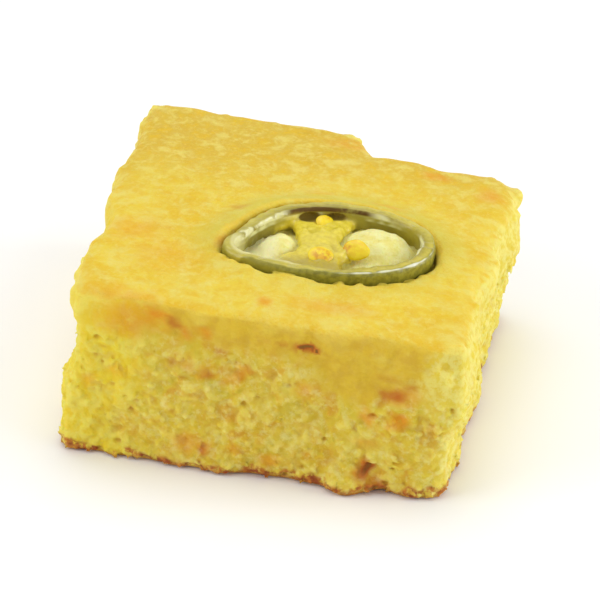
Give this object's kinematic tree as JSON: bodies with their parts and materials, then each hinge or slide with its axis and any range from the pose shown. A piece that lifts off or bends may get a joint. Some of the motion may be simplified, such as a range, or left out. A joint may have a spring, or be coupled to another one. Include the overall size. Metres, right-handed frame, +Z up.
{
  "type": "cornbread square",
  "caption": "Hand-cut square of pale golden cornbread with torn crumb on its cut sides, a smooth baked top and a slice of green pepper baked into it.",
  "frame": {"origin": "on the flat pan side, under the middle of the outline", "axes": "+Z up out of the baked top, +X along the front cut to the right, +Y from the front cut to the back cut"},
  "size_m": [0.0706, 0.075, 0.0321],
  "materials": {
    "crumb": "baked maize crumb: coarse, matt and yellow on the cuts, smooth and satin golden on top, thin brown skin on the pan side",
    "pepper": "baked green pepper: olive skin, paler moist flesh, yellow web and seeds"
  },
  "bodies": {
    "root": {"cornbread": "crumb", "pepper_slice": "pepper"}
  },
  "joints": []
}
